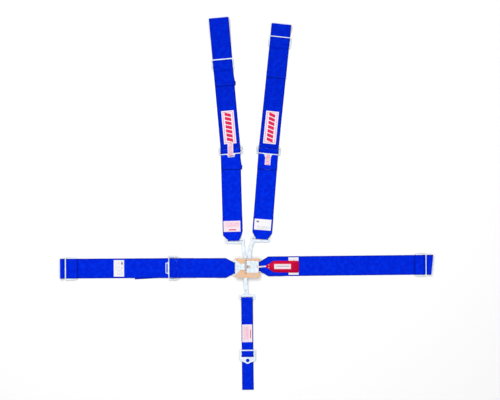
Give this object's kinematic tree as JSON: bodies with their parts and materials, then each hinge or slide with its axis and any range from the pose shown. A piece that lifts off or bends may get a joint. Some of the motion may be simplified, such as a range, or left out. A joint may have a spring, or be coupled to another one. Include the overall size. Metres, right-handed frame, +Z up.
{
  "type": "racing harness",
  "caption": "Racing harness laid flat: a lever latch joins wide lap belts, shoulder belts with adjusters and a crotch belt, each with a wrap loop or anchor plate.",
  "frame": {"origin": "middle of the latch base's underside", "axes": "+X along the right lap belt, +Y towards the shoulder belts, +Z up from the surface that the harness lies on"},
  "size_m": [1.4384, 1.4385, 0.0221],
  "materials": {
    "blue_webbing": "woven polyester webbing",
    "chrome": "polished plating",
    "steel": "zinc plated",
    "yellow_zinc": "yellow passivated zinc plating",
    "red_vinyl": "satin vinyl",
    "white_label": "satin",
    "white_ribbon": "woven ribbon"
  },
  "bodies": {
    "latch": {"latch_base": "steel", "latch_cover": "yellow_zinc", "cover_stud_top_left": "steel", "cover_stud_top_right": "steel", "cover_stud_bottom_left": "steel", "cover_stud_bottom_right": "steel", "hinge_ear_top": "yellow_zinc", "hinge_ear_bottom": "yellow_zinc", "hinge_pin": "steel", "leaf_spring": "steel"},
    "lever": {"lever": "chrome"},
    "lock_pin": {"lock_pin": "steel"},
    "pull_tab": {"pull_strip": "white_ribbon", "pull_tab": "red_vinyl", "pull_tab_label": "white_label"},
    "tongue": {"lap_tongue": "chrome"},
    "left_lap": {"left_lap_inner_webbing": "blue_webbing"},
    "left_lap_outer": {"left_lap_outer_webbing": "blue_webbing", "left_lap_adjuster": "chrome", "left_lap_slide": "chrome", "left_lap_label": "white_label"},
    "left_lap_lock": {"left_lap_lock_bar": "steel"},
    "right_lap": {"right_lap_webbing": "blue_webbing", "right_lap_slide": "chrome", "right_lap_label": "white_label"},
    "left_link": {"left_shoulder_link": "chrome"},
    "left_lower": {"left_shoulder_lower_webbing": "blue_webbing", "left_shoulder_adjuster": "chrome", "left_shoulder_label": "white_label"},
    "left_lock": {"left_shoulder_lock_bar": "steel"},
    "left_ribbon": {"left_shoulder_ribbon": "white_ribbon"},
    "left_upper": {"left_shoulder_upper_webbing": "blue_webbing", "left_shoulder_slide": "chrome", "left_shoulder_patch": "white_label"},
    "right_link": {"right_shoulder_link": "chrome"},
    "right_lower": {"right_shoulder_lower_webbing": "blue_webbing", "right_shoulder_adjuster": "chrome", "right_shoulder_label": "white_label"},
    "right_lock": {"right_shoulder_lock_bar": "steel"},
    "right_ribbon": {"right_shoulder_ribbon": "white_ribbon"},
    "right_upper": {"right_shoulder_upper_webbing": "blue_webbing", "right_shoulder_slide": "chrome", "right_shoulder_patch": "white_label"},
    "crotch_link": {"crotch_link": "chrome"},
    "crotch": {"crotch_webbing": "blue_webbing", "crotch_anchor_plate": "chrome", "crotch_label": "white_label"}
  },
  "joints": [
    {"name": "lever_hinge", "type": "hinge", "parent": "latch", "child": "lever", "pos_m": [-0.004, 0.0055, 0.01905], "axis": [0, -1, 0], "range_deg": [0, 100]},
    {"name": "lock_pin_lift", "type": "slide", "parent": "latch", "child": "lock_pin", "axis": [0, 0, 1], "range_m": [0, 0.0111]},
    {"name": "pull_tab_flap", "type": "hinge", "parent": "lever", "child": "pull_tab", "pos_m": [0.0428, 0.0055, 0.01929], "axis": [0, -1, 0], "range_deg": [0, 40]},
    {"name": "tongue_swivel", "type": "hinge", "parent": "latch", "child": "tongue", "pos_m": [0.006, 0.0055, 0], "axis": [0, 0, 1], "range_deg": [-4, 4]},
    {"name": "left_lap_fold", "type": "hinge", "parent": "tongue", "child": "left_lap", "pos_m": [-0.0512, 0, 0.00415], "axis": [0, 1, 0], "range_deg": [0, 55]},
    {"name": "left_lap_outer_fold", "type": "hinge", "parent": "left_lap", "child": "left_lap_outer", "pos_m": [-0.2689, 0, 0.0048], "axis": [-0.0059, 1, 0], "range_deg": [0, 75]},
    {"name": "left_lap_lock_slide", "type": "slide", "parent": "left_lap_outer", "child": "left_lap_lock", "axis": [-1, -0.0059, 0], "range_m": [0, 0.0025]},
    {"name": "right_lap_fold", "type": "hinge", "parent": "latch", "child": "right_lap", "pos_m": [0.05005, 0.0059, 0.00415], "axis": [0.0105, -0.9999, 0], "range_deg": [-60, 0]},
    {"name": "left_link_swivel", "type": "hinge", "parent": "latch", "child": "left_link", "pos_m": [0.006, 0.0055, 0], "axis": [0, 0, 1], "range_deg": [-2.5, 10]},
    {"name": "left_lower_fold", "type": "hinge", "parent": "left_link", "child": "left_lower", "pos_m": [-0.054, 0.1088, 0.00415], "axis": [0.9996, 0.0279, 0], "range_deg": [0, 60]},
    {"name": "left_upper_fold", "type": "hinge", "parent": "left_lower", "child": "left_upper", "pos_m": [-0.06395, 0.46504, 0.0048], "axis": [0.9959, 0.0906, 0], "range_deg": [0, 40]},
    {"name": "left_lock_slide", "type": "slide", "parent": "left_lower", "child": "left_lock", "axis": [0.0906, -0.9959, 0], "range_m": [0, 0.0025]},
    {"name": "left_ribbon_flap", "type": "hinge", "parent": "left_lower", "child": "left_ribbon", "pos_m": [-0.06096, 0.43218, 0.0068], "axis": [0.9959, 0.0906, 0], "range_deg": [0, 20]},
    {"name": "right_link_swivel", "type": "hinge", "parent": "latch", "child": "right_link", "pos_m": [0.006, 0.0055, 0], "axis": [0, 0, -1], "range_deg": [-2.5, 10]},
    {"name": "right_lower_fold", "type": "hinge", "parent": "right_link", "child": "right_lower", "pos_m": [0.0571, 0.1153, 0.00415], "axis": [0.9971, -0.0767, 0], "range_deg": [0, 60]},
    {"name": "right_upper_fold", "type": "hinge", "parent": "right_lower", "child": "right_upper", "pos_m": [0.08403, 0.46525, 0.0048], "axis": [0.9947, -0.1028, 0], "range_deg": [0, 40]},
    {"name": "right_lock_slide", "type": "slide", "parent": "right_lower", "child": "right_lock", "axis": [-0.1028, -0.9947, 0], "range_m": [0, 0.0025]},
    {"name": "right_ribbon_flap", "type": "hinge", "parent": "right_lower", "child": "right_ribbon", "pos_m": [0.08115, 0.4374, 0.0068], "axis": [-0.9947, 0.1028, 0], "range_deg": [0, 150]},
    {"name": "crotch_link_swivel", "type": "hinge", "parent": "latch", "child": "crotch_link", "pos_m": [0.006, 0.0055, 0], "axis": [0, 0, 1], "range_deg": [-10, 10]},
    {"name": "crotch_fold", "type": "hinge", "parent": "crotch_link", "child": "crotch", "pos_m": [0, -0.1169, 0.00415], "axis": [-0.9999, -0.011, 0], "range_deg": [0, 75]}
  ],
  "couplings": [
    {"joint": "lock_pin_lift", "follows": "lever_hinge", "m_per_rad": 0.0063},
    {"joint": "left_ribbon_flap", "follows": "left_upper_fold", "ratio": 0.5}
  ]
}
